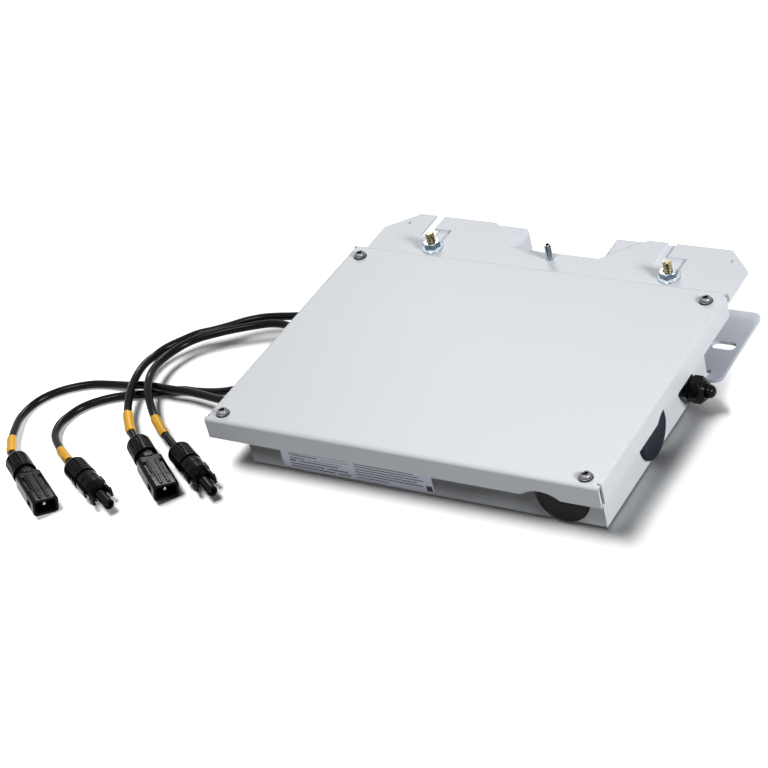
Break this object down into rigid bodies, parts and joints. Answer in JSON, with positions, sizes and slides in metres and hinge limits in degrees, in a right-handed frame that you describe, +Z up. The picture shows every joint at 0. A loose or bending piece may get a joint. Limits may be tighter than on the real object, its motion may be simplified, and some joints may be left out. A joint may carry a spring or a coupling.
{
  "type": "rapid shutdown box",
  "caption": "Flat sheet metal box with a screwed lid on a hook plate and mounting bracket, blanked cable entries and leads that end in push-fit connectors.",
  "frame": {"origin": "on the floor, below the middle of the box with its bracket and side gland, the free leads left out", "axes": "+X to the right along the lid's front edge, +Y to the back where the hook plate is, +Z up, out of the lid"},
  "size_m": [0.4808, 0.3438, 0.047],
  "materials": {
    "case_paint": "fine light grey powder coat",
    "bracket_paint": "mid grey coated sheet",
    "gasket_rubber": "soft black rubber",
    "dark_steel": "dark oiled steel",
    "bright_zinc": "bluish bright zinc",
    "yellow_zinc": "yellowish zinc",
    "plug_black": "near black moulded plastic",
    "gland_black": "satin to glossy black plastic",
    "lead_sheath": "smooth black cable sheath",
    "sleeve_yellow": "yellow shrink sleeve",
    "connector_black": "glossy black moulded plastic",
    "contact_metal": "bright tinned copper",
    "board_green": "green solder mask",
    "terminal_green": "green terminal blocks",
    "relay_blue": "blue relay cases",
    "module_grey": "dark grey moulded module",
    "earth_brass": "plain brass"
  },
  "bodies": {
    "root": {"tray": "case_paint", "lid": "case_paint", "lid_gasket": "gasket_rubber", "lid_screws": "dark_steel", "lid_screw_seals": "gasket_rubber", "press_nuts": "bright_zinc", "hook_plate": "case_paint", "hook_plate_rivets": "bright_zinc", "mounting_bracket": "bracket_paint", "rail_bolts": "yellow_zinc", "flange_nuts": "bright_zinc", "set_screw": "dark_steel", "set_screw_nut": "bright_zinc", "front_plug": "plug_black", "side_plug": "plug_black", "plug_locknuts": "plug_black", "side_gland_body": "gland_black", "side_gland_nut": "gland_black", "side_gland_seal": "gasket_rubber", "side_gland_pin": "gland_black", "gland_locknuts": "plug_black", "circuit_board": "board_green", "board_spacers": "bright_zinc", "board_screws": "bright_zinc", "input_terminals": "terminal_green", "output_terminals": "terminal_green", "relay_1": "relay_blue", "relay_2": "relay_blue", "power_module": "module_grey", "earth_terminal": "earth_brass", "inner_wires": "lead_sheath", "lead_gland_body_1": "gland_black", "lead_gland_body_2": "gland_black", "lead_gland_body_3": "gland_black", "lead_gland_body_4": "gland_black", "lead_gland_nut_1": "gland_black", "lead_gland_nut_2": "gland_black", "lead_gland_nut_3": "gland_black", "lead_gland_nut_4": "gland_black", "lead_1": "lead_sheath", "lead_2": "lead_sheath", "lead_3": "lead_sheath", "lead_4": "lead_sheath", "lead_sleeve_1": "sleeve_yellow", "lead_sleeve_2": "sleeve_yellow", "lead_sleeve_3": "sleeve_yellow", "lead_sleeve_4": "sleeve_yellow", "connector_nut_1": "connector_black", "connector_nut_2": "connector_black", "connector_nut_3": "connector_black", "connector_nut_4": "connector_black", "connector_body_1": "connector_black", "connector_body_2": "connector_black", "connector_body_3": "connector_black", "connector_body_4": "connector_black", "connector_contact_1": "contact_metal", "connector_contact_2": "contact_metal", "connector_contact_3": "contact_metal", "connector_contact_4": "contact_metal"}
  },
  "joints": []
}
